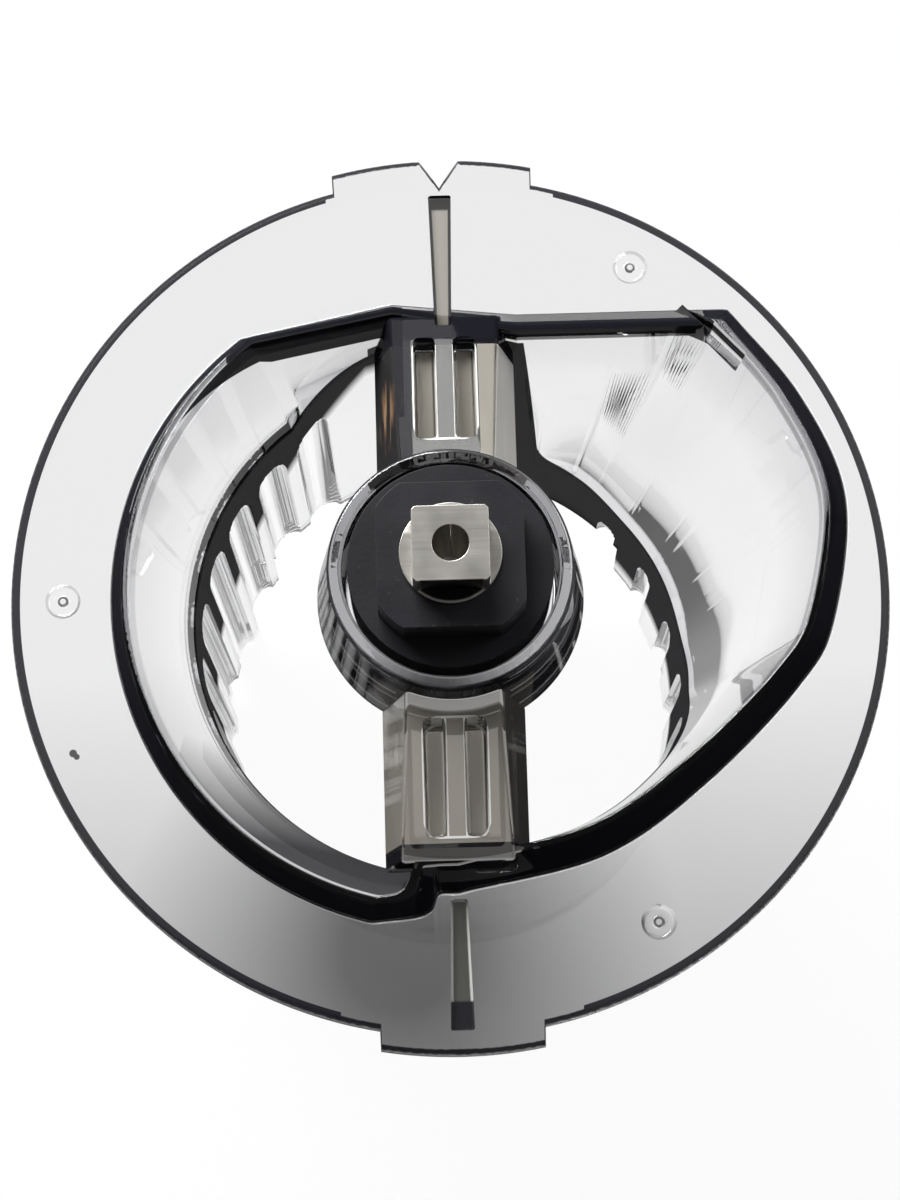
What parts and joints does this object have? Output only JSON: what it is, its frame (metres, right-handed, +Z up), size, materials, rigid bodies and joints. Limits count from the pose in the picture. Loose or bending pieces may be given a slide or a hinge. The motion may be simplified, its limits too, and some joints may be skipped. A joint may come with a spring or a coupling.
{
  "type": "juicer feed chute lid with drive hub",
  "caption": "Clear round lid with bayonet lugs and a scroll-shaped mouth that funnels into a throat tube, with a bridge and hub cup that carry a turning square drive.",
  "frame": {"origin": "centre of the chute's open end, on the drive's axis, on the surface that the lid stands on", "axes": "+Z up along the drive's axis, from the chute's end to the flange, and +Y towards the notched lug"},
  "size_m": [0.15, 0.1565, 0.1611],
  "materials": {
    "clear_plastic": "smoke-tinted clear moulded plastic, polished",
    "bush_plastic": "satin",
    "black_plastic": "satin",
    "shaft_steel": "satin, turned"
  },
  "bodies": {
    "lid": {"feed_chute_lid": "clear_plastic", "hub_bush": "bush_plastic", "thrust_washer": "bush_plastic"},
    "drive": {"drive_coupling": "black_plastic", "drive_shaft": "shaft_steel", "retaining_clip": "shaft_steel"}
  },
  "joints": [
    {"name": "drive_turn", "type": "hinge", "parent": "lid", "child": "drive", "pos_m": [0, 0, 0.126], "axis": [0, 0, 1], "continuous": true}
  ]
}
